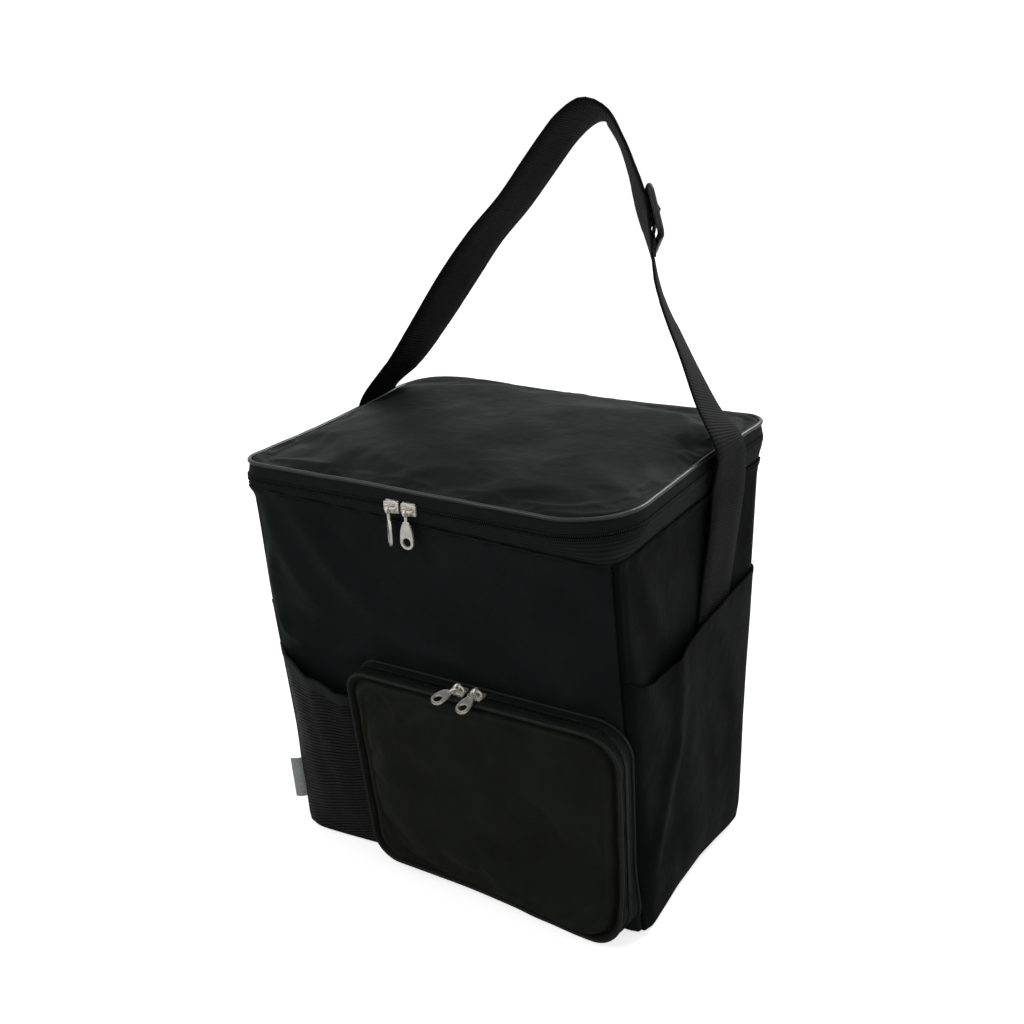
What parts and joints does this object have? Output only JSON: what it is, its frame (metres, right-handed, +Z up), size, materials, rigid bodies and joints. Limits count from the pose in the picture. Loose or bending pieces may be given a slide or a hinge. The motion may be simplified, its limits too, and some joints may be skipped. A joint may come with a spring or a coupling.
{
  "type": "insulated food carrier",
  "caption": "Soft insulated food carrier with a zipped lid, zipped front pocket, mesh pocket, side slip pockets and an adjustable webbing strap.",
  "frame": {"origin": "middle of the flat base, on the floor", "axes": "+Z up, -Y towards the front pocket, +X to the right as seen from the front"},
  "size_m": [0.3126, 0.2834, 0.5536],
  "materials": {
    "outer_fabric": "plain weave polyester with a faint sheen",
    "zip_tape": "ribbed zip tape",
    "zip_chain": "nylon coil",
    "foam": "closed cell foam",
    "lining": "silver laminated film",
    "board": "stiffener board",
    "piping": "smooth corded piping",
    "zip_metal": "nickel plated",
    "mesh": "open knitted mesh",
    "elastic": "folded elastic binding",
    "webbing": "ribbed webbing",
    "buckle_plastic": "moulded, satin",
    "tag": "folded satin label, blank"
  },
  "bodies": {
    "carrier": {"front_panel": "outer_fabric", "back_panel": "outer_fabric", "left_side_panel": "outer_fabric", "right_side_panel": "outer_fabric", "bottom_panel": "outer_fabric", "base_board": "board", "base_foam": "foam", "front_foam": "foam", "back_foam": "foam", "left_foam": "foam", "right_foam": "foam", "liner": "lining", "lower_zip_tape": "zip_tape", "lower_zip_chain": "zip_chain", "hinge_web": "outer_fabric", "pocket_gusset": "outer_fabric", "pocket_sill_strip": "outer_fabric", "pocket_rear_chain": "zip_chain", "mesh_pocket": "mesh", "mesh_hem": "elastic", "left_slip_pocket": "outer_fabric", "right_slip_pocket": "outer_fabric", "left_strap_end": "webbing", "right_strap_end": "webbing", "side_tag": "tag"},
    "lid": {"lid_cover": "outer_fabric", "lid_foam": "foam", "lid_liner": "lining", "lid_piping": "piping", "upper_zip_tape": "zip_tape", "upper_zip_chain": "zip_chain", "lid_back_band": "outer_fabric"},
    "left_zip_slider": {"left_slider": "zip_metal"},
    "left_zip_pull": {"left_pull": "zip_metal"},
    "right_zip_slider": {"right_slider": "zip_metal"},
    "right_zip_pull": {"right_pull": "zip_metal"},
    "pocket_flap": {"pocket_face": "outer_fabric", "pocket_piping": "piping", "pocket_zip_tape": "zip_tape", "pocket_front_chain": "zip_chain"},
    "pocket_left_zip_slider": {"pocket_left_slider": "zip_metal"},
    "pocket_left_zip_pull": {"pocket_left_pull": "zip_metal"},
    "pocket_right_zip_slider": {"pocket_right_slider": "zip_metal"},
    "pocket_right_zip_pull": {"pocket_right_pull": "zip_metal"},
    "strap": {"strap_webbing": "webbing"},
    "buckle": {"strap_buckle": "buckle_plastic", "strap_tail": "webbing"}
  },
  "joints": [
    {"name": "lid_hinge", "type": "hinge", "parent": "carrier", "child": "lid", "pos_m": [0, 0.119, 0.314], "axis": [-1, 0, 0], "range_deg": [0, 110], "deforming": ["strap_webbing", "strap_buckle", "strap_tail"]},
    {"name": "left_zip_run", "type": "slide", "parent": "carrier", "child": "left_zip_slider", "axis": [-1, 0, 0], "range_m": [0, 0.067]},
    {"name": "left_pull_swing", "type": "hinge", "parent": "left_zip_slider", "child": "left_zip_pull", "pos_m": [-0.0185, -0.1236, 0.314], "axis": [-1, 0, 0], "range_deg": [0, 150]},
    {"name": "right_zip_run", "type": "slide", "parent": "carrier", "child": "right_zip_slider", "axis": [1, 0, 0], "range_m": [0, 0.09]},
    {"name": "right_pull_swing", "type": "hinge", "parent": "right_zip_slider", "child": "right_zip_pull", "pos_m": [-0.0045, -0.1236, 0.314], "axis": [-1, 0, 0], "range_deg": [0, 150]},
    {"name": "pocket_flap_hinge", "type": "hinge", "parent": "carrier", "child": "pocket_flap", "pos_m": [0, -0.1068, 0.02118], "axis": [1, 0, 0], "range_deg": [0, 60]},
    {"name": "pocket_left_zip_run", "type": "slide", "parent": "pocket_flap", "child": "pocket_left_zip_slider", "axis": [-1, 0, 0], "range_m": [0, 0.065]},
    {"name": "pocket_left_pull_swing", "type": "hinge", "parent": "pocket_left_zip_slider", "child": "pocket_left_zip_pull", "pos_m": [0.024, -0.11448, 0.1849], "axis": [-1, 0, 0], "range_deg": [0, 110]},
    {"name": "pocket_right_zip_run", "type": "slide", "parent": "pocket_flap", "child": "pocket_right_zip_slider", "axis": [1, 0, 0], "range_m": [0, 0.08]},
    {"name": "pocket_right_pull_swing", "type": "hinge", "parent": "pocket_right_zip_slider", "child": "pocket_right_zip_pull", "pos_m": [0.0385, -0.11448, 0.1849], "axis": [-1, 0, 0], "range_deg": [0, 110]},
    {"name": "strap_swing", "type": "hinge", "parent": "carrier", "child": "strap", "pos_m": [0, 0.05, 0.338], "axis": [1, 0, 0], "range_deg": [-15, 55]},
    {"name": "buckle_run", "type": "slide", "parent": "strap", "child": "buckle", "axis": [-0.3927, 0.3145, 0.8642], "range_m": [-0.006, 0.006]}
  ]
}
